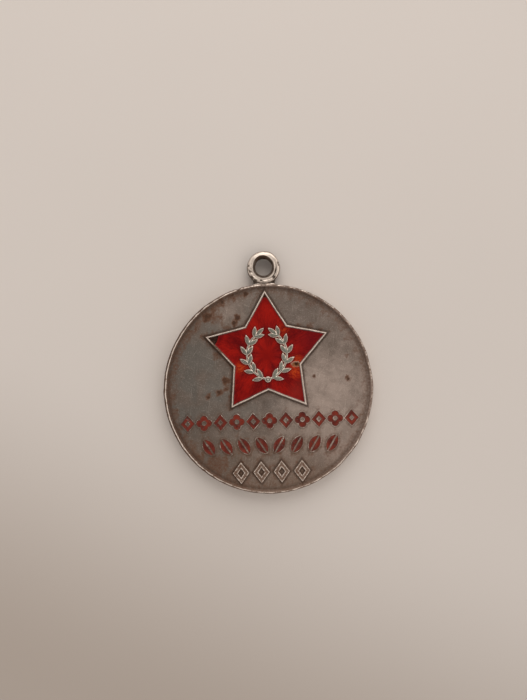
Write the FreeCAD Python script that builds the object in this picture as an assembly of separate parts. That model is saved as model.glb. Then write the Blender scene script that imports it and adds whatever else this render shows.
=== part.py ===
"""A struck silver award medal, 34 mm across, lying on its back with the eyelet towards +Y.

A solid disc carries a raised five-pointed star filled with red enamel, a raised laurel wreath in the star,
two rows of sunk ornament filled with red enamel and a bottom row of raised silver lozenges. A stamped eyelet
is soldered to the disc's edge. Everything is rigid.

Lengths are in millimetres. The model is built about the middle of the disc's back, then moved so that the
origin is the bottom centre of the whole medal's box. +Z is the front of the medal, +Y points to the eyelet.
"""
import FreeCAD, Part
import math
import os

Vector = FreeCAD.Vector

# ---- driving dimensions -------------------------------------------------------------------------
DISC_RADIUS = 17.0
RIM_TOP = 2.7                     # thickness of the medal at its rim
RIM_WIDTH = 0.4
RIM_SLOPE = 0.15                  # how far the rim's inner wall leans
RIM_ROUND = 0.15
FRONT_FIELD = 2.35                # height of the sunk field on the front
BACK_FIELD = 0.3                  # the same on the back

STAR_Y = 5.55                     # star's centre above the disc's centre
STAR_TIP_RADIUS = 10.42
STAR_NOTCH_RADIUS = 5.78
STAR_WALL = 0.32                  # width of the silver line round the enamel
STAR_DRAFT = 0.1                  # how much wider the star is at its foot
STAR_TOP = 2.95
STAR_FLOOR = 2.2
ENAMEL_TOP = 2.85

BRANCH_RADIUS = 4.1               # each branch of the wreath is an arc of this radius
BRANCH_INSET = 0.9                # each arc's centre lies this far beyond the wreath's middle
WREATH_TOP = 3.2
STEM_WIDTH = 0.36
STEM_START, STEM_END = -80.0, 52.0     # degrees round the right-hand branch's arc
LEAF_PAIRS = 6
LEAF_LENGTH, LEAF_WIDTH = 1.8, 0.72
LEAF_SPLAY = 34.0                 # degrees between a leaf and its stem
FIRST_PAIR, LAST_PAIR = -66.0, 44.0    # degrees
TIE_RADIUS = 0.5

ROW_DEPTH = 0.4                   # depth of the enamelled recesses
INLAY_BELOW_FIELD = 0.04
UPPER_ROW_Y, UPPER_COUNT, UPPER_PITCH = -5.2, 11, 2.66
LOWER_ROW_Y, LOWER_COUNT, LOWER_PITCH = -9.15, 8, 2.86
MARK_HEIGHT, MARK_WIDTH = 2.7, 2.36
LOZENGE_EYE = 0.34                # size of a lozenge's silver middle, as a share of the lozenge
FLOWER_LOBE = 0.62                # radius of each lobe of the four-lobed flower
FLOWER_REACH = 0.66               # how far each lobe's centre lies from the flower's centre
FLOWER_EYE_RADIUS = 0.36
LEAF_MARK_LENGTH, LEAF_MARK_WIDTH = 3.1, 1.75
LEAF_MARK_LEAN = 32.0             # degrees from upright
LEAF_MARK_RIB = 0.2

BOTTOM_ROW_Y, BOTTOM_COUNT, BOTTOM_PITCH = -13.45, 4, 3.3
RAISED_WIDTH, RAISED_HEIGHT = 2.6, 3.5
RAISED_LINE = 0.6                 # width of a raised lozenge's line
RAISED_BY = 0.25
BACK_ROWS = ((7.6, 4), (2.55, 5), (-2.55, 4), (-7.6, 5))      # height and count of each row on the back
BACK_PITCH = 3.6

EYELET_Y = 19.7
EYELET_RADIUS = 2.7
EYELET_BORE_RADIUS = 1.32
EYELET_LOW, EYELET_HIGH = 0.35, 2.35
EYELET_OUTER_ROUND = 0.45
EYELET_INNER_ROUND = 0.33
GROOVE_RADIUS = 2.06              # the shallow ring pressed into each face of the eyelet
GROOVE_WIDTH, GROOVE_DEPTH = 0.22, 0.1

SOLDER_LOW, SOLDER_HIGH = 0.6, 2.1
SOLDER_HALF_WIDTH = 1.85          # where its foot ends on the disc's edge
SOLDER_CLIMB = 44.0               # degrees up each side of the eyelet from its lowest point
SOLDER_HOLLOW = 0.12              # how far each flank bows inwards

PART_TOP_Y = EYELET_Y + EYELET_RADIUS
SHIFT = Vector(0, (DISC_RADIUS - PART_TOP_Y) / 2, 0)     # brings the box's centre to the origin


# ---- small tools --------------------------------------------------------------------------------
def polar(radius, degrees, centre=(0.0, 0.0), z=0.0):
    a = math.radians(degrees)
    return Vector(centre[0] + radius * math.cos(a), centre[1] + radius * math.sin(a), z)


def polygon(points):
    return Part.makePolygon(list(points) + [points[0]])


def arc(start, middle, end):
    return Part.Arc(start, middle, end).toShape()


def prism(outline, bottom, top):
    """A straight-sided solid over an outline drawn at z = 0."""
    face = Part.Face(outline)
    face.translate(Vector(0, 0, bottom))
    return face.extrude(Vector(0, 0, top - bottom))


def drafted(low_wire, high_wire):
    """A solid with sloping sides between two outlines of the same kind."""
    return Part.makeLoft([low_wire, high_wire], True, True)


def placed(shape, x, y, turn=0.0):
    shape = shape.copy()
    shape.rotate(Vector(0, 0, 0), Vector(0, 0, 1), turn)
    shape.translate(Vector(x, y, 0))
    return shape


def circles(shape, radius):
    return [e for e in shape.Edges if isinstance(e.Curve, Part.Circle) and abs(e.Curve.Radius - radius) < 1e-6]


def row_places(count, pitch):
    return [(i - (count - 1) / 2) * pitch for i in range(count)]


def save(name, shape):
    shape = shape.copy()
    shape.translate(SHIFT)
    assert shape.isValid() and shape.Solids, name
    shape.exportStep(f"parts/{name}.step")
    box = shape.BoundBox
    print(f"{name:18s} solids {len(shape.Solids)}  volume {shape.Volume:9.3f} mm3"
          f"  z {box.ZMin:.2f}..{box.ZMax:.2f}")


# ---- outlines -----------------------------------------------------------------------------------
def star_scale(offset):
    """All ten sides of the star are equally far from its centre, so moving them out by offset is a scaling."""
    side = polar(STAR_TIP_RADIUS, 90) - polar(STAR_NOTCH_RADIUS, 54)
    apothem = STAR_TIP_RADIUS * STAR_NOTCH_RADIUS * math.sin(math.radians(36)) / side.Length
    return (apothem + offset) / apothem


def star_wire(offset, z):
    k = star_scale(offset)
    points = []
    for i in range(5):
        points.append(polar(k * STAR_TIP_RADIUS, 90 + 72 * i, (0, STAR_Y), z))
        points.append(polar(k * STAR_NOTCH_RADIUS, 126 + 72 * i, (0, STAR_Y), z))
    return polygon(points)


def lozenge_wire(width, height, z=0.0):
    w, h = width / 2, height / 2
    return polygon([Vector(w, 0, z), Vector(0, h, z), Vector(-w, 0, z), Vector(0, -h, z)])


def almond_wire(length, width):
    """A pointed leaf from the origin along +Y, with two round sides."""
    base, tip, half = Vector(0, 0, 0), Vector(0, length, 0), width / 2
    right = arc(base, Vector(half, length / 2, 0), tip)
    left = arc(tip, Vector(-half, length / 2, 0), base)
    return Part.Wire([right, left])


# ---- ornament motifs, drawn about the origin ------------------------------------------------------
def lozenge_mark(bottom, top):
    outer = prism(lozenge_wire(MARK_WIDTH, MARK_HEIGHT), bottom, top)
    eye = prism(lozenge_wire(MARK_WIDTH * LOZENGE_EYE, MARK_HEIGHT * LOZENGE_EYE), bottom, top)
    return outer.cut(eye)


def flower_mark(bottom, top):
    tall = top - bottom
    lobes = [Part.makeCylinder(FLOWER_LOBE, tall, polar(FLOWER_REACH, 90 * i, z=bottom)) for i in range(4)]
    middle = Part.makeCylinder(FLOWER_REACH, tall, Vector(0, 0, bottom))
    eye = Part.makeCylinder(FLOWER_EYE_RADIUS, tall, Vector(0, 0, bottom))
    return middle.multiFuse(lobes).cut(eye).removeSplitter()


def leaf_mark(bottom, top):
    """A leaf in two halves, with a silver rib between them."""
    leaf = prism(almond_wire(LEAF_MARK_LENGTH, LEAF_MARK_WIDTH), bottom, top)
    rib = Part.makeBox(LEAF_MARK_RIB, LEAF_MARK_LENGTH, top - bottom, Vector(-LEAF_MARK_RIB / 2, 0, bottom))
    return leaf.cut(rib).translated(Vector(0, -LEAF_MARK_LENGTH / 2, 0))


def raised_lozenge(foot, top):
    """A hollow lozenge that stands from z = foot to z = top, either way up, a little wider at its foot."""
    grow = RAISED_BY / 2
    middle_to_side = RAISED_WIDTH * RAISED_HEIGHT / 2 / math.hypot(RAISED_WIDTH, RAISED_HEIGHT)
    hollow = 1 - RAISED_LINE / middle_to_side
    inner_w, inner_h = RAISED_WIDTH * hollow, RAISED_HEIGHT * hollow
    outer = drafted(lozenge_wire(RAISED_WIDTH + grow, RAISED_HEIGHT + grow, foot),
                    lozenge_wire(RAISED_WIDTH, RAISED_HEIGHT, top))
    inner = drafted(lozenge_wire(inner_w - grow, inner_h - grow, foot),
                    lozenge_wire(inner_w, inner_h, top))
    return outer.cut(inner)


def upper_row(bottom, top):
    """Lozenges and flowers in turn, with a lozenge at each end."""
    for i, x in enumerate(row_places(UPPER_COUNT, UPPER_PITCH)):
        motif = lozenge_mark if i % 2 == 0 else flower_mark
        yield placed(motif(bottom, top), x, UPPER_ROW_Y)


def lower_row(bottom, top):
    """Leaves that lean outwards on both sides of the middle."""
    for x in row_places(LOWER_COUNT, LOWER_PITCH):
        lean = -LEAF_MARK_LEAN if x > 0 else LEAF_MARK_LEAN
        yield placed(leaf_mark(bottom, top), x, LOWER_ROW_Y, lean)


# ---- the pieces ---------------------------------------------------------------------------------
def disc_blank():
    """The disc with its two sunk fields and round-edged rims, turned from half its section."""
    inner = DISC_RADIUS - RIM_WIDTH
    shoulder = DISC_RADIUS - RIM_ROUND
    nook = RIM_ROUND * (1 - math.sqrt(0.5))

    def at(r, z):
        return Vector(r, 0, z)

    edges = [
        Part.LineSegment(at(0, BACK_FIELD), at(inner - RIM_SLOPE, BACK_FIELD)).toShape(),
        Part.LineSegment(at(inner - RIM_SLOPE, BACK_FIELD), at(inner, 0)).toShape(),
        Part.LineSegment(at(inner, 0), at(shoulder, 0)).toShape(),
        arc(at(shoulder, 0), at(DISC_RADIUS - nook, nook), at(DISC_RADIUS, RIM_ROUND)),
        Part.LineSegment(at(DISC_RADIUS, RIM_ROUND), at(DISC_RADIUS, RIM_TOP - RIM_ROUND)).toShape(),
        arc(at(DISC_RADIUS, RIM_TOP - RIM_ROUND), at(DISC_RADIUS - nook, RIM_TOP - nook), at(shoulder, RIM_TOP)),
        Part.LineSegment(at(shoulder, RIM_TOP), at(inner, RIM_TOP)).toShape(),
        Part.LineSegment(at(inner, RIM_TOP), at(inner - RIM_SLOPE, FRONT_FIELD)).toShape(),
        Part.LineSegment(at(inner - RIM_SLOPE, FRONT_FIELD), at(0, FRONT_FIELD)).toShape(),
        Part.LineSegment(at(0, FRONT_FIELD), at(0, BACK_FIELD)).toShape(),
    ]
    section = Part.Face(Part.Wire(edges))
    return section.revolve(Vector(0, 0, 0), Vector(0, 0, 1), 360)


def star_frame():
    """The raised star, solid down into the disc. Its floor is cut out afterwards."""
    root = FRONT_FIELD - ROW_DEPTH
    slope = STAR_DRAFT / (STAR_TOP - FRONT_FIELD)
    return drafted(star_wire(slope * (STAR_TOP - root), root), star_wire(0, STAR_TOP))


def star_recess(top):
    return drafted(star_wire(-STAR_WALL, STAR_FLOOR), star_wire(-STAR_WALL, top))


def planchet():
    raised = [star_frame()]
    root = FRONT_FIELD - RAISED_BY
    for x in row_places(BOTTOM_COUNT, BOTTOM_PITCH):
        raised.append(placed(raised_lozenge(root, FRONT_FIELD + RAISED_BY), x, BOTTOM_ROW_Y))
    for y, count in BACK_ROWS:
        for x in row_places(count, BACK_PITCH):
            raised.append(placed(raised_lozenge(BACK_FIELD + RAISED_BY, BACK_FIELD - RAISED_BY), x, y))
    above = STAR_TOP + 1
    sunk = [star_recess(above)]
    sunk += list(upper_row(FRONT_FIELD - ROW_DEPTH, above))
    sunk += list(lower_row(FRONT_FIELD - ROW_DEPTH, above))
    return disc_blank().multiFuse(raised).cut(Part.makeCompound(sunk))


def wreath_leaf(degrees, splay):
    """One leaf of a branch, growing from the stem's arc. Positive splay leans inwards."""
    leaf = prism(almond_wire(LEAF_LENGTH, LEAF_WIDTH), STAR_FLOOR, WREATH_TOP)
    root = polar(BRANCH_RADIUS, degrees)
    return placed(leaf, root.x, root.y, degrees + splay)


def wreath_branch():
    """The right-hand branch: a curved stem, pairs of leaves and one leaf at the end."""
    tall = WREATH_TOP - STAR_FLOOR
    foot, up = Vector(0, 0, STAR_FLOOR), Vector(0, 0, 1)
    stem = Part.makeCylinder(BRANCH_RADIUS + STEM_WIDTH / 2, tall, foot, up, STEM_END - STEM_START)
    stem.rotate(Vector(0, 0, 0), up, STEM_START)
    core = Part.makeCylinder(BRANCH_RADIUS - STEM_WIDTH / 2, tall, foot)
    leaves = [wreath_leaf(STEM_END - 2, 0)]
    step = (LAST_PAIR - FIRST_PAIR) / (LEAF_PAIRS - 1)
    for i in range(LEAF_PAIRS):
        at = FIRST_PAIR + i * step
        leaves += [wreath_leaf(at, LEAF_SPLAY), wreath_leaf(at, -LEAF_SPLAY)]
    branch = stem.cut(core).multiFuse(leaves)
    return branch.translated(Vector(-BRANCH_INSET, 0, 0))


def wreath_emblem():
    """Two branches that cross at the bottom, under a round tie, and stay apart at the top."""
    right = wreath_branch()
    left = right.mirror(Vector(0, 0, 0), Vector(1, 0, 0))
    crossing = -math.sqrt(BRANCH_RADIUS ** 2 - BRANCH_INSET ** 2)
    tie = Part.makeCylinder(TIE_RADIUS, WREATH_TOP - STAR_FLOOR, Vector(0, crossing, STAR_FLOOR))
    whole = tie.multiFuse([right, left]).removeSplitter()
    return whole.translated(Vector(0, STAR_Y, 0))


def star_enamel(emblem):
    return star_recess(ENAMEL_TOP).cut(emblem)


def eyelet():
    """A thick ring with a round-edged section and a shallow ring groove in each face."""
    low, high = EYELET_LOW, EYELET_HIGH
    bore, outer = EYELET_BORE_RADIUS, EYELET_RADIUS
    ring = Part.makeCylinder(outer, high - low, Vector(0, EYELET_Y, low))
    ring = ring.cut(Part.makeCylinder(bore, high - low, Vector(0, EYELET_Y, low)))
    ring = ring.makeFillet(EYELET_OUTER_ROUND, circles(ring, outer))
    ring = ring.makeFillet(EYELET_INNER_ROUND, circles(ring, bore))
    for z, depth in ((low, GROOVE_DEPTH), (high, -GROOVE_DEPTH)):
        half = GROOVE_WIDTH / 2
        section = polygon([Vector(GROOVE_RADIUS - half, EYELET_Y, z), Vector(GROOVE_RADIUS, EYELET_Y, z + depth),
                           Vector(GROOVE_RADIUS + half, EYELET_Y, z)])
        groove = Part.Face(section).revolve(Vector(0, EYELET_Y, 0), Vector(0, 0, 1), 360)
        ring = ring.cut(groove)
    return ring


def eyelet_solder():
    """Silver solder between the disc's edge and the eyelet, with a hollow flank on each side."""
    foot_x = SOLDER_HALF_WIDTH
    foot = Vector(foot_x, math.sqrt(DISC_RADIUS ** 2 - foot_x ** 2), 0)
    top = polar(EYELET_RADIUS, -90 + SOLDER_CLIMB, (0, EYELET_Y))
    waist = (foot + top) * 0.5 - Vector(SOLDER_HOLLOW, 0, 0)
    mirror = [Vector(-p.x, p.y, 0) for p in (foot, waist, top)]
    sunk = Vector(0, DISC_RADIUS - 0.4, 0)
    outline = Part.Wire([
        arc(foot, waist, top),
        Part.LineSegment(top, mirror[2]).toShape(),
        arc(mirror[2], mirror[1], mirror[0]),
        Part.LineSegment(mirror[0], sunk).toShape(),
        Part.LineSegment(sunk, foot).toShape(),
    ])
    solder = prism(outline, SOLDER_LOW, SOLDER_HIGH)
    solder = solder.cut(Part.makeCylinder(DISC_RADIUS, RIM_TOP))
    return solder.cut(Part.makeCylinder(EYELET_RADIUS, RIM_TOP, Vector(0, EYELET_Y, 0)))


# ---- build --------------------------------------------------------------------------------------
def main():
    os.makedirs("parts", exist_ok=True)
    emblem = wreath_emblem()
    save("planchet", planchet())
    save("eyelet", eyelet())
    save("eyelet_solder", eyelet_solder())
    save("wreath_emblem", emblem)
    save("star_enamel", star_enamel(emblem))
    floor, top = FRONT_FIELD - ROW_DEPTH, FRONT_FIELD - INLAY_BELOW_FIELD
    for i, inlay in enumerate(upper_row(floor, top), 1):
        save(f"upper_inlay_{i:02d}", inlay)
    for i, inlay in enumerate(lower_row(floor, top), 1):
        save(f"lower_inlay_{i:02d}", inlay)


main()
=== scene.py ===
"""Looks of a worn silver award medal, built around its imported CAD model.

Every CAD node is replaced by a finer mesh of the same size and place: the struck disc, the enamel in its
star and rows, the wreath, the eyelet and its solder. Shapes are worked out in millimetres about the middle
of the disc's back, with +Y towards the eyelet, and put in the CAD model's frame when each mesh is made.

Relief is made from plans: each feature knows its outline at any offset, which gives the mesh its lines, and
the distance of any point from that outline, which gives the mesh its height and its wear and dirt.
"""

import math

import bpy
import numpy as np
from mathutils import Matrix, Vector, geometry


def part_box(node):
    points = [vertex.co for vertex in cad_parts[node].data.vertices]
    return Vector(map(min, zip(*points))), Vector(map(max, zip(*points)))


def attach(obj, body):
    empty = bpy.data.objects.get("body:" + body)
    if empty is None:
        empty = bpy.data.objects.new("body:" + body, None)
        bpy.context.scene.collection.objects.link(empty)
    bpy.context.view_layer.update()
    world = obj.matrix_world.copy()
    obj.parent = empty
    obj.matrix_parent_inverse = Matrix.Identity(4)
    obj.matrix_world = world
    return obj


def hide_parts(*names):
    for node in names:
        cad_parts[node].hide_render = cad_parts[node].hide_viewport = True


MM = 0.001
TAU = 2 * math.pi
ON_LINE = 1e-4               # how far in mm a point on an outline may lie off it

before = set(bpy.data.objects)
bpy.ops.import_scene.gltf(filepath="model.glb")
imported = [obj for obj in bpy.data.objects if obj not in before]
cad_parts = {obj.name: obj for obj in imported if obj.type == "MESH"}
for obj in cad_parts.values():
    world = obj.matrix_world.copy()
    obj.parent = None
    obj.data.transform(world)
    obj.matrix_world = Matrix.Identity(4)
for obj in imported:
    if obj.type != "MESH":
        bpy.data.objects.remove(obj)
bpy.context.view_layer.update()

# ---- the medal's own measures, in mm, read from the CAD boxes ----
disc_low, disc_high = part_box("planchet")
DISC_X = (disc_low.x + disc_high.x) / 2
DISC_Y = (disc_low.y + disc_high.y) / 2


def medal_box(node):
    """A node's box in mm, about the middle of the disc's back."""
    low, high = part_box(node)
    shift = Vector((DISC_X, DISC_Y, 0))
    return (low - shift) / MM, (high - shift) / MM


def centre_of(node):
    low, high = medal_box(node)
    return (low.x + high.x) / 2, (low.y + high.y) / 2


RADIUS = min(disc_high.x - disc_low.x, disc_high.y - disc_low.y) / 2 / MM
RIM_TOP = 2.7
FRONT_FIELD, BACK_FIELD = 2.35, 0.3

star_low, star_high = medal_box("star_enamel")
STAR_TIP, STAR_NOTCH, STAR_WALL = 10.42, 5.78, 0.32
STAR_SIDE = math.atan2(STAR_TIP - STAR_NOTCH * math.cos(math.pi / 5), STAR_NOTCH * math.sin(math.pi / 5))
STAR_APOTHEM = STAR_TIP * math.cos(STAR_SIDE)
ENAMEL_SHARE = (STAR_APOTHEM - STAR_WALL) / STAR_APOTHEM
STAR_Y = star_high.y - STAR_TIP * ENAMEL_SHARE
STAR_TOP, STAR_FLOOR = 2.95, star_low.z
ENAMEL_TOP = star_high.z

wreath_low, wreath_high = medal_box("wreath_emblem")
BRANCH_RADIUS, BRANCH_INSET = 4.1, 0.9
STEM_WIDTH, STEM_START, STEM_END = 0.36, -80.0, 52.0
LEAF_PAIRS, LEAF_LENGTH, LEAF_WIDTH, LEAF_SPLAY = 6, 1.8, 0.72, 34.0
FIRST_PAIR, LAST_PAIR = -66.0, 44.0
TIE_RADIUS = 0.5

UPPER = [f"upper_inlay_{i:02d}" for i in range(1, 12)]
LOWER = [f"lower_inlay_{i:02d}" for i in range(1, 9)]
INLAY_FLOOR, INLAY_TOP = (corner.z for corner in medal_box(UPPER[0]))
MARK_WIDTH, MARK_HEIGHT, LOZENGE_EYE = 2.36, 2.7, 0.34
FLOWER_LOBE, FLOWER_REACH, FLOWER_EYE = 0.62, 0.66, 0.36
LEAF_MARK_LENGTH, LEAF_MARK_WIDTH, LEAF_MARK_LEAN, LEAF_MARK_RIB = 3.1, 1.75, 32.0, 0.2

BOTTOM_Y, BOTTOM_COUNT, BOTTOM_PITCH = -13.45, 4, 3.3
RAISED_WIDTH, RAISED_HEIGHT, RAISED_LINE, RAISED_BY = 2.6, 3.5, 0.6, 0.25
BACK_ROWS = ((7.6, 4), (2.55, 5), (-2.55, 4), (-7.6, 5))
BACK_PITCH = 3.6

EYELET_X, EYELET_Y = centre_of("eyelet")
eye_low, eye_high = medal_box("eyelet")
EYELET_RADIUS = (eye_high.x - eye_low.x) / 2
EYELET_BORE, EYELET_GROOVE = 1.32, 2.06
EYELET_INNER_ROUND, EYELET_OUTER_ROUND = 0.33, 0.45
solder_low, solder_high = medal_box("eyelet_solder")
SOLDER_FOOT, SOLDER_CLIMB, SOLDER_HOLLOW = 1.85, 44.0, 0.12


# ---- numbers ----
def ease(low, high, value):
    """0 below low, 1 above high, smooth in between. low may be the larger."""
    t = np.clip((value - low) / (high - low), 0, 1)
    return t * t * (3 - 2 * t)


def bell(value, middle, width):
    return np.exp(-((value - middle) / width) ** 2)


def waves(x, y, size, seed, count=7):
    """Smooth repeatable noise from -1 to 1, with features about size mm across."""
    rng = np.random.RandomState(seed)
    total = np.zeros_like(np.asarray(x, float))
    for _ in range(count):
        turn, phase = rng.uniform(0, TAU, 2)
        pitch = size * rng.uniform(1.4, 3.0)
        total += np.sin((np.cos(turn) * x + np.sin(turn) * y) * TAU / pitch + phase)
    return total / math.sqrt(count * 2)


def round_waves(angle, cycles, seed, count=5):
    """Smooth noise from -1 to 1 round a circle, with up to cycles swings a turn."""
    rng = np.random.RandomState(seed)
    total = np.zeros_like(angle)
    for _ in range(count):
        total += np.sin(rng.randint(max(1, cycles // 3), cycles + 1) * angle + rng.uniform(0, TAU))
    return total / math.sqrt(count * 2)


def degrees_off(angle, degrees):
    """How far an angle in radians is from a direction in degrees, from -180 to 180."""
    return (np.degrees(angle) - degrees + 180) % 360 - 180


def away_from(angle, directions, width):
    """0 in each of the directions and 1 away from them, all in degrees."""
    share = np.ones_like(angle)
    for degrees in directions:
        share = share * (1 - bell(degrees_off(angle, degrees), 0, width))
    return share


def profile(distance, stops):
    """Height from straight lines between (distance, height) stops."""
    where, height = zip(*stops)
    return np.interp(distance, where, height)


# ---- plan shapes ----
# Each has distance(x, y), below zero inside it, and outline(offset, step): closed loops of points.
def along(corners, step):
    """Points about step apart along a closed line through the corners, which are kept."""
    points = []
    for (ax, ay), (bx, by) in zip(corners, corners[1:] + corners[:1]):
        n = max(1, round(math.hypot(bx - ax, by - ay) / step))
        points += [(ax + (bx - ax) * i / n, ay + (by - ay) * i / n) for i in range(n)]
    return points


def arc_points(x, y, radius, start, end, step):
    n = max(2, round(abs(end - start) * radius / step))
    return [(x + radius * math.cos(start + (end - start) * i / n),
             y + radius * math.sin(start + (end - start) * i / n)) for i in range(n + 1)]


class Star:
    def distance(self, x, y):
        """Measured square to the nearest side, so offset corners stay sharp."""
        x, y = x, y - STAR_Y
        arm = TAU / 5
        angle = np.abs((np.arctan2(x, y) + arm / 2) % arm - arm / 2)
        return np.hypot(x, y) * np.cos(angle - STAR_SIDE) - STAR_APOTHEM

    def outline(self, offset, step):
        share = 1 + offset / STAR_APOTHEM
        corners = []
        for i in range(10):
            reach = share * (STAR_NOTCH if i % 2 else STAR_TIP)
            corners.append((reach * math.sin(i * TAU / 10), STAR_Y + reach * math.cos(i * TAU / 10)))
        return [along(corners, step)]


class Circle:
    def __init__(self, x, y, radius):
        self.x, self.y, self.radius = x, y, radius

    def distance(self, x, y):
        return np.hypot(x - self.x, y - self.y) - self.radius

    def outline(self, offset, step):
        return [arc_points(self.x, self.y, self.radius + offset, 0, TAU, step)[:-1]]


class Lozenge:
    def __init__(self, x, y, width, height):
        self.x, self.y, self.w, self.h = x, y, width / 2, height / 2

    def distance(self, x, y):
        side = math.hypot(self.w, self.h)
        return (np.abs(x - self.x) * self.h + np.abs(y - self.y) * self.w - self.w * self.h) / side

    def outline(self, offset, step):
        share = 1 + offset * math.hypot(self.w, self.h) / (self.w * self.h)
        w, h = self.w * share, self.h * share
        corners = [(self.x + w, self.y), (self.x, self.y + h), (self.x - w, self.y), (self.x, self.y - h)]
        return [along(corners, step)]


class Flower:
    """Four round lobes."""

    def __init__(self, x, y):
        self.x, self.y = x, y

    def distance(self, x, y):
        x, y = np.abs(x - self.x), np.abs(y - self.y)
        lobe = np.minimum(np.hypot(x - FLOWER_REACH, y), np.hypot(x, y - FLOWER_REACH))
        return lobe - FLOWER_LOBE

    def outline(self, offset, step):
        radius = FLOWER_LOBE + offset
        half = FLOWER_REACH * math.sqrt(0.5)
        cusp = (half + math.sqrt(radius ** 2 - half ** 2)) * math.sqrt(0.5)
        sweep = math.atan2(cusp, cusp - FLOWER_REACH)
        points = []
        for i in range(4):
            turn = i * TAU / 4
            x, y = self.x + FLOWER_REACH * math.cos(turn), self.y + FLOWER_REACH * math.sin(turn)
            points += arc_points(x, y, radius, turn - sweep, turn + sweep, step)[:-1]
        return [points]


class Leaf:
    """A pointed leaf from (x, y), turned from +Y. side 0 is the whole leaf, 1 or -1 a half beside its rib."""

    def __init__(self, x, y, turn, length, width, side=0, rib=0.0):
        self.x, self.y, self.turn = x, y, math.radians(turn)
        self.length, self.side, self.rib = length, side, rib / 2
        self.radius = ((width / 2) ** 2 + (length / 2) ** 2) / width
        self.back = self.radius - width / 2          # how far each side's centre lies beyond the rib

    def place(self, x, y):
        """(across the leaf, along it from its middle)"""
        c, s = math.cos(self.turn), math.sin(self.turn)
        x, y = x - self.x, y - self.y
        return x * c + y * s, y * c - x * s - self.length / 2

    def distance(self, x, y):
        across, up = self.place(x, y)
        if not self.side:
            return np.hypot(np.abs(across) + self.back, up) - self.radius
        across = across * self.side
        return np.maximum(np.hypot(across + self.back, up) - self.radius, self.rib - across)

    def outline(self, offset, step):
        radius = self.radius + offset
        inner = self.rib - offset if self.side else 0.0
        reach = math.acos((inner + self.back) / radius)
        right = arc_points(-self.back, 0, radius, -reach, reach, step)
        if self.side:
            n = max(1, round((right[-1][1] - right[0][1]) / step))
            down = [(inner, right[-1][1] + (right[0][1] - right[-1][1]) * i / n) for i in range(n)]
            points = [(a * self.side, b) for a, b in right[:-1] + down]
        else:
            left = arc_points(self.back, 0, radius, math.pi - reach, math.pi + reach, step)
            points = right[:-1] + left[:-1]
        c, s = math.cos(self.turn), math.sin(self.turn)
        return [[(self.x + a * c - (b + self.length / 2) * s, self.y + a * s + (b + self.length / 2) * c)
                 for a, b in points]]


class Band:
    """A curved strip: part of a ring."""

    def __init__(self, x, y, radius, width, start, end):
        self.x, self.y, self.radius, self.half = x, y, radius, width / 2
        self.start, self.end = math.radians(start), math.radians(end)

    def distance(self, x, y):
        angle = np.arctan2(y - self.y, x - self.x)
        middle = (self.start + self.end) / 2
        off = np.abs((angle - middle + math.pi) % TAU - math.pi) - (self.end - self.start) / 2
        ring = np.abs(np.hypot(x - self.x, y - self.y) - self.radius) - self.half
        return np.maximum(ring, off * self.radius)

    def outline(self, offset, step):
        half = self.half + offset
        outer = arc_points(self.x, self.y, self.radius + half, self.start, self.end, step)
        inner = arc_points(self.x, self.y, self.radius - half, self.end, self.start, step)
        return [outer + inner]


class Mirrored:
    """Another shape seen in a mirror at x = 0."""

    def __init__(self, shape):
        self.shape = shape

    def distance(self, x, y):
        return self.shape.distance(-x, y)

    def outline(self, offset, step):
        return [[(-a, b) for a, b in reversed(loop)] for loop in self.shape.outline(offset, step)]


class Mark:
    """Solid shapes with eyes cut out of them."""

    def __init__(self, solids, eyes=()):
        self.solids, self.eyes = solids, eyes

    def distance(self, x, y):
        inside = np.min([s.distance(x, y) for s in self.solids], axis=0)
        for eye in self.eyes:
            inside = np.maximum(inside, -eye.distance(x, y))
        return inside

    def outline(self, offset, step):
        loops = []
        for solid in self.solids:
            loops += solid.outline(offset, step)
        for eye in self.eyes:
            loops += eye.outline(-offset, step)
        return loops


def nearest(shapes, x, y):
    return np.min([s.distance(x, y) for s in shapes], axis=0)


def outlines(shape, offsets, step):
    return [loop for offset in offsets for loop in shape.outline(offset, step)]


def row_places(count, pitch):
    return [(i - (count - 1) / 2) * pitch for i in range(count)]


def upper_mark(index, node):
    x, y = centre_of(node)
    if index % 2 == 0:
        eye = Lozenge(x, y, MARK_WIDTH * LOZENGE_EYE, MARK_HEIGHT * LOZENGE_EYE)
        return Mark([Lozenge(x, y, MARK_WIDTH, MARK_HEIGHT)], [eye])
    return Mark([Flower(x, y)], [Circle(x, y, FLOWER_EYE)])


def lower_mark(node):
    x, y = centre_of(node)
    lean = -LEAF_MARK_LEAN if x > 0 else LEAF_MARK_LEAN
    turn = math.radians(lean)
    foot = (x + math.sin(turn) * LEAF_MARK_LENGTH / 2, y - math.cos(turn) * LEAF_MARK_LENGTH / 2)
    halves = [Leaf(*foot, lean, LEAF_MARK_LENGTH, LEAF_MARK_WIDTH, side, LEAF_MARK_RIB) for side in (1, -1)]
    return Mark(halves)


def raised_lozenge(x, y):
    middle_to_side = RAISED_WIDTH * RAISED_HEIGHT / 2 / math.hypot(RAISED_WIDTH, RAISED_HEIGHT)
    hollow = 1 - RAISED_LINE / middle_to_side
    eye = Lozenge(x, y, RAISED_WIDTH * hollow, RAISED_HEIGHT * hollow)
    return Mark([Lozenge(x, y, RAISED_WIDTH, RAISED_HEIGHT)], [eye])


STAR = Star()
MARKS = [upper_mark(i, node) for i, node in enumerate(UPPER)] + [lower_mark(node) for node in LOWER]
BOTTOM = [raised_lozenge(x, BOTTOM_Y) for x in row_places(BOTTOM_COUNT, BOTTOM_PITCH)]
BACK = [raised_lozenge(x, y) for y, count in BACK_ROWS for x in row_places(count, BACK_PITCH)]


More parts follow.
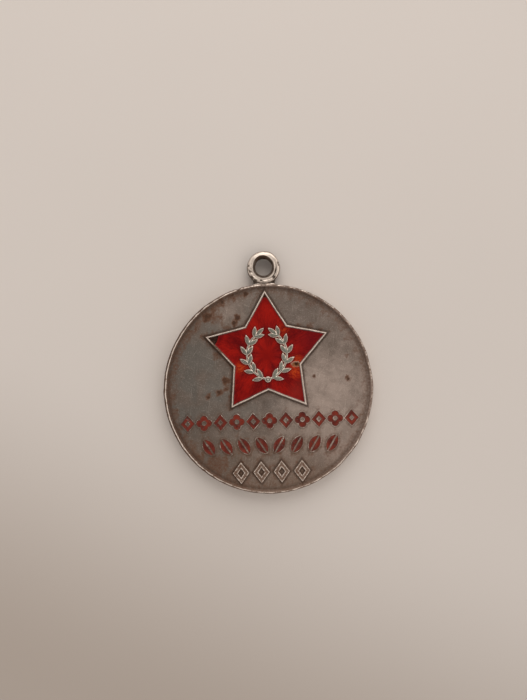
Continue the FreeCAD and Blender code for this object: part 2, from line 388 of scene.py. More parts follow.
# ---- meshes ----
def triangles(loops, loose, keep=None):
    """(points, faces) through every loop's lines and the loose points. keep picks faces by middle."""
    points, edges = [], []
    for loop in loops:
        first = len(points)
        points += loop
        edges += [(first + i, first + (i + 1) % len(loop)) for i in range(len(loop))]
    points = [Vector(p) for p in points] + [Vector(p) for p in loose]
    found = geometry.delaunay_2d_cdt(points, edges, [], 0, 1e-5, False)
    spots, faces = np.array([tuple(v) for v in found[0]]), np.array([tuple(f) for f in found[2]])
    a, b, c = (spots[faces[:, i]] for i in range(3))
    area = np.cross(b - a, c - a)
    faces[area < 0] = faces[area < 0][:, ::-1]
    faces = faces[np.abs(area) > 1e-9]
    if keep is not None:
        middle = spots[faces].mean(axis=1)
        faces = faces[keep(middle[:, 0], middle[:, 1])]
    used, faces = np.unique(faces, return_inverse=True)
    return spots[used], faces.reshape(-1, 3)


def loose_points(step, low, high, wanted, loops):
    """A triangular grid of points step apart, where wanted(x, y), and clear of the loops."""
    rows = np.arange(low[1], high[1], step * math.sqrt(0.75))
    columns = np.arange(low[0], high[0], step)
    x = np.concatenate([columns + (step / 2 if i % 2 else 0) for i in range(len(rows))])
    y = np.repeat(rows, len(columns))
    ok = wanted(x, y)
    x, y = x[ok], y[ok]
    cell = step * 0.55
    taken = set()
    for loop in loops:
        line = np.round(np.array(loop) / cell).astype(int)
        for dx in (-1, 0, 1):
            for dy in (-1, 0, 1):
                taken.update(map(tuple, line + (dx, dy)))
    spots = zip(x, y, np.round(x / cell).astype(int), np.round(y / cell).astype(int))
    return [(a, b) for a, b, i, j in spots if (i, j) not in taken]


def slab(points, faces, top, bottom):
    """A closed solid: the faces at height top, their copy at height bottom, and walls between."""
    n = len(points)
    edges = np.concatenate([faces[:, [0, 1]], faces[:, [1, 2]], faces[:, [2, 0]]])
    both = set(map(tuple, edges))
    border = [(a, b) for a, b in both if (b, a) not in both]
    corners = np.concatenate([np.column_stack([points, top]), np.column_stack([points, bottom])])
    walls = [(b, a, a + n, b + n) for a, b in sorted(border)]
    return corners, faces.tolist() + (faces[:, ::-1] + n).tolist() + walls


def hand_cut(x, y):
    """Moves points sideways a little, the same for everything on the front, as in a die cut by hand."""
    fade = ease(RADIUS - 0.4, RADIUS - 2.0, np.hypot(x, y))
    return x + 0.022 * waves(x, y, 1.6, 11) * fade, y + 0.022 * waves(x, y, 1.6, 12) * fade


def filled(shape, edge, loops, step, clear, low, high):
    """(points, faces) filling a shape out to its outline at the offset edge."""
    grid = loose_points(step, low, high, lambda x, y: shape.distance(x, y) < edge - clear, loops)
    return triangles(loops, grid, lambda x, y: shape.distance(x, y) < edge + ON_LINE)


def solid_over(points, faces, top, bottom):
    """A slab over part of the front's plan, with the whole front's unevenness."""
    return slab(np.column_stack(hand_cut(*points.T)), faces, top, np.full(len(points), bottom))


def placed(name, data):
    made = bpy.data.objects.new(name, data)
    bpy.context.scene.collection.objects.link(made)
    return made


def make_piece(name, corners, faces, material, nodes, marks, sharp=40.0):
    """A finished piece from corners in mm about the disc's back, in place of CAD nodes."""
    mesh = bpy.data.meshes.new(name)
    spots = np.asarray(corners, float) * MM + (DISC_X, DISC_Y, 0)
    mesh.from_pydata(spots.tolist(), [], [list(map(int, f)) for f in faces])
    for key, values in marks.items():
        attribute = mesh.attributes.new(key, "FLOAT", "POINT")
        attribute.data.foreach_set("value", np.asarray(values, np.float32))
    mesh.shade_smooth()
    mesh.set_sharp_from_angle(angle=math.radians(sharp))
    mesh.materials.append(material)
    mesh.update()
    piece = placed(name, mesh)
    piece.modifiers.new("weighted_normals", "WEIGHTED_NORMAL").keep_sharp = True
    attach(piece, "root")
    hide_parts(*nodes)


# ---- the disc ----
# Stops are (distance from the outline or radius, height) along each feature's section.
RING_COUNT = 600
FINE_STEP, COARSE_STEP = 0.15, 0.3           # of the grids near the relief and away from it
BACK_RINGS = (15.9, 16.25, 16.45, 16.6, 16.67, 16.76, 16.85, 16.94, RADIUS)
RIM_STOPS = ((16.33, 0.0), (16.4, 0.03), (16.47, 0.17), (16.53, 0.29), (16.6, 0.335), (16.67, 0.35),
             (16.75, 0.347), (16.82, 0.325), (16.89, 0.28), (16.93, 0.24), (16.97, 0.19), (17.0, 0.13))
FRONT_RINGS = (15.7, 16.0, 16.18, *(radius for radius, _ in RIM_STOPS[:-1]), RADIUS)
BACK_STOPS = ((16.45, 0.0), (16.6, 0.27), (16.67, 0.3), (16.82, 0.3), (16.94, 0.24), (17.0, 0.1))
STAR_STOPS = ((-0.34, STAR_FLOOR), (-0.32, 2.86), (-0.3, 2.92), (-0.25, STAR_TOP), (-0.1, STAR_TOP),
              (-0.04, 2.925), (0.01, 2.87), (0.1, FRONT_FIELD + 0.015), (0.14, FRONT_FIELD))
MARK_STOPS = ((-0.03, INLAY_FLOOR), (-0.012, 2.34), (0.0, 2.385), (0.04, 2.4), (0.075, 2.385),
              (0.12, FRONT_FIELD))
RAISED_STOPS = ((-0.3, 0.185), (-0.19, 0.2), (-0.09, 0.247), (-0.03, RAISED_BY), (0.01, 0.225),
                (0.12, 0.0))
STAR_LINES = sorted([distance for distance, _ in STAR_STOPS] + [-0.17, 0.24, 0.38])
MARK_LINES = [distance for distance, _ in MARK_STOPS]
RAISED_LINES = (-0.28, -0.19, -0.09, -0.03, 0.01, 0.12)
RELIEF_REACH = MARK_LINES[-1]                # how far from its outline a mark changes the field
NICK = 104.7                                 # degrees round to the sharpest dent
DENTS = (                                    # degrees round, half width in degrees, depth
    (NICK, 1.0, 0.12), (146.0, 14.0, 0.11), (163.0, 5.0, 0.05), (205.0, 7.0, 0.04), (231.0, 3.0, 0.04),
    (318.0, 5.0, 0.06), (343.0, 6.0, 0.07), (332.0, 3.0, 0.06), (300.0, 4.0, 0.05), (12.0, 4.0, 0.06),
    (36.0, 8.0, 0.04), (64.0, 4.0, 0.04), (119.0, 10.0, 0.07), (178.0, 8.0, 0.05),
)
DISC_SIDES, SIDE_WIDTH = (0.0, 180.0, 270.0), 3.0      # where the disc keeps its full size, in degrees


def rings(radii):
    turns = [i * TAU / RING_COUNT for i in range(RING_COUNT)]
    return [[(r * math.cos(a), r * math.sin(a)) for a in turns] for r in radii]


def rim_dent(angle):
    """How far the disc's edge is pushed in, in mm."""
    depth = 0.012 * (1 + round_waves(angle, 40, 21)) + 0.01 * (1 + round_waves(angle, 170, 22))
    for degrees, width, most in DENTS:
        depth = depth + most * bell(degrees_off(angle, degrees), 0, width)
    return depth * away_from(angle, DISC_SIDES, SIDE_WIDTH)


def front_distances(x, y):
    """How far a place on the front is from the star, from the enamelled marks and from the raised ones."""
    return STAR.distance(x, y), nearest(MARKS, x, y), nearest(BOTTOM, x, y)


def front_height(x, y):
    radius = np.hypot(x, y)
    star, mark, raised = front_distances(x, y)
    z = np.full_like(x, FRONT_FIELD)
    z = z + 0.01 * waves(x, y, 3.0, 31) * ease(0.1, 0.5, star) + 0.003 * waves(x, y, 0.5, 32)
    z = np.where(star < STAR_STOPS[-1][0], profile(star, STAR_STOPS), z)
    z = np.where(mark < RELIEF_REACH, profile(mark, MARK_STOPS), z)
    z = z + profile(raised, RAISED_STOPS) * (raised < RELIEF_REACH)
    return z + profile(radius, RIM_STOPS) * (radius > RIM_STOPS[0][0])


def back_height(x, y):
    radius = np.hypot(x, y)
    raised = nearest(BACK, x, y)
    depth = np.full_like(x, BACK_FIELD)
    depth = depth + 0.01 * waves(x, y, 3.0, 41) * ease(16.3, 15.8, radius)
    depth = depth - profile(raised, RAISED_STOPS) * (raised < RELIEF_REACH)
    return depth - profile(radius, BACK_STOPS) * (radius > BACK_STOPS[0][0])


def front_marks(x, y):
    """Where the front is worn bright, and where it is darker, each from 0 to 1: dirt, darker bands round the
    relief and in the rim's ditch, and painted shade on the left and at the outer edge.
    """
    radius, angle = np.hypot(x, y), np.arctan2(y, x)
    star, mark, raised = front_distances(x, y)
    uneven = round_waves(angle, 60, 51)
    # painted light and shade by side: the rubbed rim is real wear, but where its bright band lies and how
    # bright it is on the right, top and bottom follow the light, as do the lighter ditch and outer edge on
    # the right and bottom
    right = np.maximum(bell(degrees_off(angle, 32), 0, 72), bell(degrees_off(angle, -8), 0, 26))
    top = bell(degrees_off(angle, 88), 0, 25)
    bottom = bell(degrees_off(angle, 270), 0, 40)
    crest_at = 16.64 + 0.03 * uneven + 0.18 * right + 0.1 * bottom + 0.1 * top
    rim = bell(radius, crest_at, 0.11 + 0.04 * right) * (0.86 + 0.25 * uneven)
    rim = rim * (1 - 0.46 * right - 0.22 * bottom - 0.12 * top)
    scuffed = bell(np.hypot(x + 8.0, y - 6.6), 0, 1.9)
    border = ease(-0.04, -0.12, star) * ease(-0.3, -0.2, star)
    border = border * (0.82 + 0.22 * waves(x, y, 1.1, 53)) * (1 - 0.45 * scuffed)
    lip = bell(mark, 0.03, 0.05) * (0.4 + 0.25 * waves(x, y, 0.8, 52))
    crest = np.maximum(0.62 * bell(raised, -0.05, 0.09), 0.32 * ease(0.0, -0.1, raised))
    wear = np.max([rim, border, lip, crest], axis=0)
    foot = 0.85 * ease(0.42, 0.16, star) * ease(-0.03, 0.03, star)
    ditch = ease(15.8, 16.15, radius) * ease(16.43, 16.31, radius + 0.07 * right)
    ditch = ditch * (0.5 - 0.15 * right)
    # the disc's outer edge darkened: dirt and painted shade, lighter on the right and bottom
    edge_dirt_and_shade = (0.34 - 0.2 * right - 0.14 * bottom) * ease(16.75, 16.87, radius)
    nick = bell(np.radians(degrees_off(angle, NICK)) * RADIUS, 0, 0.2) * ease(16.5, 16.8, radius)
    around = 0.45 * ease(0.4, 0.12, mark) * ease(0.06, 0.12, mark)
    below = 0.8 * ease(0.5, 0.1, raised) * ease(0.02, 0.12, raised)
    # painted shade: more darkening towards the left of the field
    low = 0.15 * ease(-6.0, -15.0, x)
    grime = np.max([foot, ditch, edge_dirt_and_shade, nick, around, below], axis=0) + low
    return wear * (1 - nick), np.clip(grime, 0, 1)


STAINS = (              # x, y, radius and strength of the brown stains on the front
    (-3.02, 15.42, 0.48, 1.0), (-9.74, 12.18, 1.1, 0.85), (-8.3, 13.3, 1.2, 0.65),
    (-6.91, 14.26, 1.0, 0.68), (-10.9, 11.2, 0.8, 0.45), (-5.4, 15.2, 0.7, 0.7), (-4.55, 11.69, 0.6, 1.0),
    (-5.13, 10.89, 0.75, 0.8), (-8.2, 12.0, 1.4, 0.6), (-6.6, 10.2, 0.9, 0.55), (-8.05, -0.25, 0.65, 0.9),
    (-9.73, -1.01, 0.7, 0.65), (-6.87, 1.63, 0.8, 0.85), (-6.6, 0.2, 0.6, 0.7), (-8.2, 5.9, 0.9, 0.6),
    (13.02, 1.1, 0.65, 0.78), (7.55, 1.73, 0.3, 0.88), (5.0, 9.94, 0.8, 0.55), (7.0, 9.6, 0.9, 0.55),
    (8.53, 8.97, 0.8, 0.5), (-7.3, 8.0, 0.6, 0.5), (-13.6, 8.5, 0.7, 0.45), (12.9, 4.9, 0.4, 0.5),
    (12.3, 11.2, 0.8, 0.45), (9.3, 13.2, 0.9, 0.5), (-9.0, -12.0, 3.0, 0.54),
)
FLECKS = (              # x, y and radius of small dark spots on the front
    (-3.02, 15.42, 0.58), (7.55, 1.73, 0.28), (13.02, 1.1, 0.46), (-4.55, 11.69, 0.75),
    (-5.13, 10.89, 0.7), (-8.05, -0.25, 0.55), (-9.73, -1.01, 0.45), (-6.91, 14.26, 0.5),
)
PAINTED_SHADE_PLACES = (         # x, y, radius and strength of broad places darkened as painted shade
    (7.0, 14.0, 12.0, 0.42), (13.0, 6.0, 5.5, 0.12), (0.0, -2.2, 3.5, 0.28), (-9.0, -12.0, 5.0, 0.26),
    (8.0, -11.8, 3.0, 0.22), (0.0, -11.4, 3.0, 0.14),
)


def stained(x, y):
    wanders = 0.35 * waves(x, y, 0.9, 61) + 0.2 * waves(x, y, 0.35, 62)
    star, mark, raised = front_distances(x, y)
    rim, side = RADIUS - np.hypot(x, y), ease(2.0, -9.0, x)
    by_star = (0.34 + 0.22 * side) * ease(1.3, 0.1, star + wanders)
    by_rim = (0.43 + 0.12 * side - 0.05 * ease(-10.0, -14.0, y)) * ease(3.4, 0.9, rim + 2 * wanders)
    by_marks = 0.34 * ease(0.9, 0.1, np.minimum(mark, raised) + wanders) + 0.16 * ease(-5.0, -12.0, y)
    total = np.max([by_star, by_rim, by_marks], axis=0)
    for sx, sy, radius, strength in STAINS:
        near = np.hypot(x - sx, y - sy) / radius
        total = np.maximum(total, strength * ease(1.5, 0.3, near + wanders))
    return total


def disc_face(radii, shapes, step, near):
    """One face's plan: rings, the shapes' offset outlines, and a grid that is finer near the relief."""
    loops = rings(radii)
    for shape, offsets in shapes:
        loops += outlines(shape, offsets, step)
    inner = radii[0] - FINE_STEP
    loose = []
    for grid_step, close in ((FINE_STEP, True), (COARSE_STEP, False)):
        loose += loose_points(grid_step, (-RADIUS, -RADIUS), (RADIUS, RADIUS),
                              lambda x, y: (np.hypot(x, y) < inner) & (near(x, y) == close), loops)
    return triangles(loops, loose)


def near_front_relief(x, y):
    star, mark, raised = front_distances(x, y)
    return np.min([np.abs(star), mark, raised], axis=0) < 0.6


def near_back_relief(x, y):
    return nearest(BACK, x, y) < 0.5


def edge_points(points):
    """The numbers of the points on the disc's edge, in order round it."""
    order = np.argsort(np.arctan2(points[:, 1], points[:, 0]))
    edge = [i for i in order if np.hypot(*points[i]) > RADIUS - ON_LINE]
    assert len(edge) == RING_COUNT
    return edge


def wall_faces(above, below):
    n = len(above)
    return [(above[i], below[i], below[(i + 1) % n], above[(i + 1) % n]) for i in range(n)]


def build_disc(material):
    front = [(STAR, STAR_LINES)] + [(mark, MARK_LINES) for mark in MARKS]
    front += [(lozenge, RAISED_LINES + (0.22,)) for lozenge in BOTTOM]
    top, top_faces = disc_face(FRONT_RINGS, front, 0.14, near_front_relief)
    back = [(lozenge, RAISED_LINES) for lozenge in BACK]
    low, low_faces = disc_face(BACK_RINGS, back, 0.16, near_back_relief)

    top_z, low_z = front_height(*top.T), back_height(*low.T)
    wear, grime = front_marks(*top.T)
    stain = stained(*top.T)
    low_radius, low_raised = np.hypot(*low.T), nearest(BACK, *low.T)
    low_wear = np.maximum(bell(low_radius, 16.75, 0.12), bell(low_raised, -0.03, 0.08))
    low_grime = np.maximum(ease(15.8, 16.4, low_radius) * ease(16.62, 16.5, low_radius),
                           0.8 * ease(0.5, 0.1, low_raised) * ease(0.0, 0.1, low_raised))
    low_stain = 0.5 * ease(0.1, 1.1, waves(*low.T, 2.5, 63) + 0.4 * waves(*low.T, 0.8, 64))
    low_stain = np.maximum(low_stain, 0.45 * ease(13.0, 16.0, low_radius + 1.2 * waves(*low.T, 1.5, 65)))

    top_edge, low_edge = edge_points(top), edge_points(low)
    corners = [np.column_stack([*hand_cut(*top.T), top_z]), np.column_stack([low, low_z])]
    first_low = len(top)
    faces = top_faces.tolist() + (low_faces[:, ::-1] + first_low).tolist()
    above, count = top_edge, len(top) + len(low)
    edge_xy = top[top_edge]
    levels = np.linspace(RIM_STOPS[-1][1] + FRONT_FIELD, BACK_FIELD - BACK_STOPS[-1][1], 9)[1:-1]
    for level in levels:
        corners.append(np.column_stack([edge_xy, np.full(RING_COUNT, level)]))
        below = list(range(count, count + RING_COUNT))
        faces += wall_faces(above, below)
        above, count = below, count + RING_COUNT
    faces += wall_faces(above, [i + first_low for i in low_edge])
    corners = np.concatenate(corners)

    round_wall = np.tile(np.arctan2(edge_xy[:, 1], edge_xy[:, 0]) * RADIUS, len(levels))
    up_wall = np.repeat(levels, RING_COUNT)
    to_lip = np.minimum(up_wall - levels[-1], levels[0] - up_wall)
    patches = waves(round_wall, 2 * up_wall, 1.8, 72)
    wall_wear = 0.62 + 0.14 * patches + 0.1 * waves(round_wall, up_wall * 5, 0.5, 73)
    wall_grime = 0.28 * ease(0.35, 0.0, to_lip) * ease(-0.8, 0.6, patches)
    marks = {
        "wear": np.concatenate([wear, low_wear, wall_wear]),
        "grime": np.concatenate([grime, low_grime, wall_grime]),
        "stain": np.concatenate([stain, low_stain, 0.25 - 0.2 * patches]),
    }
    x, y, z = corners.T
    radius, angle = np.hypot(x, y), np.arctan2(y, x)
    scale = 1 - rim_dent(angle) * ease(RADIUS - 1.4, RADIUS - 0.1, radius) / radius.clip(1)
    side = (radius > RADIUS - 1e-3) * 0.02 * (1 + waves(angle * RADIUS, z * 2, 0.7, 71))
    scale = scale - side * away_from(angle, DISC_SIDES, SIDE_WIDTH) / radius.clip(1)
    corners = np.column_stack([x * scale, y * scale, z])
    make_piece("medal_disc", corners, faces, material, ["planchet"], marks)


# ---- enamel in the star ----
CHIP_X, CHIP_Y = 4.62, 3.8


class Chip:
    """The ragged hole in the enamel by the star's right-hand notch."""

    def reach(self, angle):
        long_way = 0.4 / np.sqrt((0.56 * np.cos(angle)) ** 2 + np.sin(angle) ** 2)
        return long_way * (1 + 0.16 * round_waves(angle, 9, 81))

    def distance(self, x, y):
        return np.hypot(x - CHIP_X, y - CHIP_Y) - self.reach(np.arctan2(y - CHIP_Y, x - CHIP_X))

    def outline(self, offset, step):
        turns = np.linspace(0, TAU, 40, endpoint=False)
        reach = self.reach(turns) + offset
        return [list(zip(CHIP_X + reach * np.cos(turns), CHIP_Y + reach * np.sin(turns)))]


CHIP = Chip()
LOST_LEFT = Circle(-9.92, 8.88, 2.15)        # enamel gone from the left-hand tip
LOST_TOP = Circle(0.0, 15.48, 0.75)          # and from the top one
ENAMEL_EDGE = -0.325


def wreath_parts():
    """Leaves, stems and tie as shapes about the disc's centre."""
    leaves = []
    turns = [FIRST_PAIR + i * (LAST_PAIR - FIRST_PAIR) / (LEAF_PAIRS - 1) for i in range(LEAF_PAIRS)]
    spots = [(turn, splay) for turn in turns for splay in (LEAF_SPLAY, -LEAF_SPLAY)] + [(STEM_END - 2, 0)]
    for degrees, splay in spots:
        a = math.radians(degrees)
        x = BRANCH_RADIUS * math.cos(a) - BRANCH_INSET
        y = BRANCH_RADIUS * math.sin(a) + STAR_Y
        leaf = Leaf(x, y, degrees + splay, LEAF_LENGTH, LEAF_WIDTH)
        leaves += [leaf, Mirrored(leaf)]
    stem = Band(-BRANCH_INSET, STAR_Y, BRANCH_RADIUS, STEM_WIDTH, STEM_START, STEM_END)
    tie = Circle(0, STAR_Y - math.sqrt(BRANCH_RADIUS ** 2 - BRANCH_INSET ** 2), TIE_RADIUS)
    return leaves, [stem, Mirrored(stem)], tie


LEAVES, STEMS, TIE = wreath_parts()
WREATH = Mark(LEAVES + STEMS + [TIE])


def build_star_enamel(material):
    loops = outlines(STAR, (ENAMEL_EDGE, ENAMEL_EDGE - 0.06, ENAMEL_EDGE - 0.14), 0.12)
    for shape in (CHIP, LOST_LEFT, LOST_TOP):
        loops += outlines(shape, (0.0, -0.05, -0.12), 0.08)
    points, faces = filled(STAR, ENAMEL_EDGE, loops, 0.11, 0.1, (-10, -3), (10, 16))
    x, y = points.T
    edge = ENAMEL_EDGE - STAR.distance(x, y)
    near_wreath = WREATH.distance(x, y)
    top = ENAMEL_TOP - 0.06 + 0.05 * np.exp(-edge / 0.12) + 0.03 * np.exp(-np.abs(near_wreath) / 0.1)
    top += 0.006 * waves(x, y, 0.9, 82)
    lost = np.minimum(LOST_LEFT.distance(x, y), LOST_TOP.distance(x, y))
    chip = CHIP.distance(x, y)
    top -= 0.3 * ease(0.0, -0.1, lost) * (1 - 0.35 * np.exp(-edge / 0.15))
    top -= 0.34 * ease(0.0, -0.07, chip) * (0.8 + 0.2 * waves(x, y, 0.25, 83))
    top += 0.02 * waves(x, y, 0.3, 84) * ease(0.0, -0.1, np.minimum(lost, chip))
    bare = np.maximum(ease(0.03, -0.05, lost), ease(0.02, -0.03, chip))
    rim_of_chip = bell(chip, 0.0, 0.07)
    shade = np.maximum(0.75 * np.exp(-edge / 0.1), np.exp(-np.clip(near_wreath, 0, 9) / 0.11))
    corners, all_faces = solid_over(points, faces, top, STAR_FLOOR + 0.01)
    marks = {"bare": np.tile(bare, 2), "shade": np.tile(shade, 2), "chip_rim": np.tile(rim_of_chip, 2)}
    make_piece("star_enamel_glass", corners, all_faces, material, ["star_enamel"], marks)


# ---- the wreath ----
LEAF_EDGE_Z, STEM_Z, WREATH_TOP = 2.93, 3.06, wreath_high.z
TIE_STOPS = ((0, 3.19), (0.15, 3.18), (0.22, 3.1), (0.27, 3.1), (0.34, 3.16), (0.42, 3.12),
             (TIE_RADIUS, 2.98))


def leaf_height(leaf, x, y):
    """Height over one leaf: a bevelled edge, a nearly flat top with a creased rib, and faint side veins."""
    across, up = leaf.place(x, y)
    half = np.sqrt(np.clip(leaf.radius ** 2 - up ** 2, 0, None)) - leaf.back
    inward = half - np.abs(across)
    body = 0.17 * ease(-0.03, 0.12, inward) + 0.07 * ease(0.05, 0.34, inward)
    crease = 0.06 * bell(across, 0, 0.045) * ease(0.05, 0.2, half)
    veins = 0.01 * np.sin((up - np.abs(across) * 1.3) * TAU / 0.26) * ease(0.03, 0.15, inward)
    ends = 1 - 0.35 * ease(0.2, 0.5, up / leaf.length)
    return LEAF_EDGE_Z + (body - crease + veins) * ends


def wreath_height(x, y):
    z = np.full_like(x, LEAF_EDGE_Z - 0.02)
    for leaf in LEAVES:
        plain, mirrored = (leaf.shape, -x) if isinstance(leaf, Mirrored) else (leaf, x)
        z = np.where(leaf.distance(x, y) < ON_LINE, np.maximum(z, leaf_height(plain, mirrored, y)), z)
    for stem in STEMS:
        depth = np.clip(-stem.distance(x, y) / (STEM_WIDTH / 2), 0, 1)
        z = np.where(depth > 0, np.maximum(z, LEAF_EDGE_Z + (STEM_Z - LEAF_EDGE_Z) * np.sqrt(depth)), z)
    out = np.hypot(x - TIE.x, y - TIE.y)
    return np.where(out < TIE_RADIUS, np.maximum(z, profile(out, TIE_STOPS)), z)


def build_wreath(material):
    loops = [loop for shape in LEAVES + STEMS for loop in shape.outline(0.0, 0.07)]
    loops += outlines(TIE, (0.0, -0.08, -0.16, -0.23, -0.28, -0.35), 0.06)
    points, faces = filled(WREATH, 0.0, loops, 0.062, 0.02, wreath_low, wreath_high)
    x, y = points.T
    top = np.minimum(wreath_height(x, y), WREATH_TOP)
    edge = -WREATH.distance(x, y)
    wear = np.clip(0.12 + 1.1 * bell(edge, 0.04, 0.06) + 0.8 * ease(3.14, 3.19, top), 0, 1)
    corners, all_faces = solid_over(points, faces, top, STAR_FLOOR + 0.02)
    none = np.zeros(len(points))
    marks = {"wear": np.concatenate([wear, none]), "stain": np.concatenate([none, none]),
             "grime": np.concatenate([0.25 * ease(0.5, 0.1, wear), none + 0.8])}
    make_piece("laurel_wreath", corners, all_faces, material, ["wreath_emblem"], marks)


# ---- enamel in the rows ----
def build_inlay(name, node, mark, index, material):
    edge = -0.014
    loops = outlines(mark, (edge, edge - 0.06, edge - 0.13), 0.09)
    points, faces = filled(mark, edge, loops, 0.085, 0.05, *medal_box(node))
    x, y = points.T
    inward = edge - mark.distance(x, y)
    sunk = 0.05 * ease(0.0, 0.22, inward) + 0.01 * waves(x, y, 0.35, 91 + index)
    pits = ease(0.75, 1.0, waves(x, y, 0.22, 191 + index)) * ease(0.05, 0.15, inward)
    lost = 0 * x
    if index == 0:              # the first mark has lost part of its enamel
        lost = ease(0.2, 0.7, waves(x, y, 0.6, 291)) * ease(0.02, 0.2, inward)
    top = np.minimum(INLAY_TOP + 0.015 - sunk - 0.07 * pits - 0.16 * lost, INLAY_TOP + 0.02)
    corners, all_faces = solid_over(points, faces, top, INLAY_FLOOR + 0.005)
    dirt = np.clip(0.8 * pits + lost + 0.75 * ease(0.14, 0.0, inward), 0, 1)
    make_piece(name, corners, all_faces, material, [node], {"grime": np.tile(dirt, 2)})


# ---- eyelet and solder ----
def eyelet_section():
    """The ring's section as (radius, height), from the bore over the top and back underneath."""
    low, high = eye_low.z, eye_high.z
    inner, outer, bore = EYELET_INNER_ROUND, EYELET_OUTER_ROUND, EYELET_BORE
    points = [(bore, z) for z in np.linspace(low + inner + 0.1, high - inner, 6)]
    points += [(bore + inner - inner * math.cos(a), high - inner + inner * math.sin(a))
               for a in np.linspace(0, TAU / 4, 8)[1:]]
    points += [(r, high) for r in (1.8, 1.9, 1.95, 1.99, 2.03, 2.06, 2.09, 2.13, 2.17, 2.21)]
    points += [(EYELET_RADIUS - outer + outer * math.sin(a), high - outer + outer * math.cos(a))
               for a in np.linspace(0, TAU / 4, 9)]
    middle = (low + high) / 2
    upper = [p for p in points if p[1] > middle + 0.05]
    lower = [(r, 2 * middle - z) for r, z in reversed(upper)]
    sides = [(EYELET_RADIUS, middle + 0.3), (EYELET_RADIUS, middle), (EYELET_RADIUS, middle - 0.3)]
    return upper + sides + lower + [(bore, middle - 0.3), (bore, middle)]


EYELET_PITS = (         # degrees round, radius, half length and half width of the dirty hollows in the face
    (-45.0, 2.3, 0.32, 0.3), (-14.0, 2.02, 0.6, 0.14), (257.0, 2.14, 0.25, 0.16),
    (218.0, 2.48, 0.38, 0.22), (195.0, 2.3, 0.26, 0.17), (236.0, 2.5, 0.35, 0.2),
    (172.0, 2.42, 0.2, 0.14), (12.0, 2.45, 0.4, 0.1),
)


def eyelet_pits(r, a):
    """How much of a hollow there is, from 0 to 1."""
    pits = np.zeros_like(r)
    for degrees, reach, long, wide in EYELET_PITS:
        along_ring = np.radians(degrees_off(a, degrees)) * reach
        pits = np.maximum(pits, bell(along_ring, 0, long) * bell(r, reach, wide))
    return pits


def groove_depth(angle):
    """How much of the pressed ring groove is left, by the angle round the eyelet: worn away at the top."""
    turn = np.degrees(angle) % 360
    right = bell(turn, 335, 48) + bell(turn, -25, 48)
    left = 0.75 * bell(turn, 190, 45)
    spots = 0.6 + 0.4 * round_waves(angle, 30, 101)
    return np.clip((right + left * spots) * 1.1, 0, 1)


def build_eyelet(material):
    section = np.array(eyelet_section())
    turns = np.linspace(0, TAU, 192, endpoint=False)
    r, a = np.meshgrid(section[:, 0], turns)
    z, _ = np.meshgrid(section[:, 1], turns)
    middle = (eye_low.z + eye_high.z) / 2
    on_top = z > middle
    groove = bell(r, EYELET_GROOVE, 0.075) * np.where(on_top, groove_depth(a), 0.8)
    on_face = np.abs(z - middle) > (eye_high.z - eye_low.z) / 2 - 0.06
    z = z - np.sign(z - middle) * 0.13 * groove * on_face
    worn = 0.1 * bell(np.degrees(a) % 360, 100, 50) * ease(1.9, 2.6, r) * on_top
    pits = eyelet_pits(r, a) * on_top
    z = z - worn - 0.07 * pits - 0.02 * (1 + waves(r * np.cos(a), r * np.sin(a), 0.7, 102)) * on_top
    dented = 0.03 * (1 + round_waves(a, 7, 103)) * ease(2.2, 2.7, r) * away_from(a, (0.0, 180.0, 90.0), 8)
    oval = 0.04 * (1 + round_waves(a, 5, 104)) * ease(1.8, 1.5, r)
    above = bell(degrees_off(a, 100), 0, 48)
    oval = oval + 0.2 * above * ease(1.95, 1.65, r)       # the hanging ring has worn the bore upwards
    r = r - dented + oval
    corners = np.stack([EYELET_X + r * np.cos(a), EYELET_Y + r * np.sin(a), z], axis=-1).reshape(-1, 3)
    n, m = len(turns), len(section)
    faces = []
    for i in range(n):
        for j in range(m):
            here, there = i * m + j, ((i + 1) % n) * m + j
            faces.append((here, here - j + (j + 1) % m, there - j + (j + 1) % m, there))
    # painted shade: the bore's wall is darkened, widest and browner at the top, standing in for the shadow
    # inside the hole; it feeds the grime and stain marks
    bore = ease(1.8 + 0.28 * above, 1.66 + 0.26 * above, r)
    bore = bore * np.maximum(ease(1.1, 0.7, eye_high.z - z), above)
    base = bell(degrees_off(a, 270), 0, 36) * ease(2.35, 2.65, r)
    outer = 0.3 * ease(2.2, 2.5, r) + 0.45 * ease(2.54, 2.66, r)
    specks = 0.5 * ease(0.45, 0.85, waves(r * np.cos(a), r * np.sin(a), 0.42, 105)) * ease(1.95, 2.2, r)
    pits = np.maximum(specks, 1.1 * pits)
    grime = np.clip(np.max([groove, bore, base, outer, pits], axis=0), 0, 1)
    wear = np.clip(0.95 - grime, 0, 1) * np.where(on_top, 1.0, 0.5)
    marks = {"wear": wear.ravel(), "grime": grime.ravel(), "stain": (0.9 * bore * above).ravel()}
    make_piece("hanging_eyelet", corners, faces, material, ["eyelet"], marks, 60)


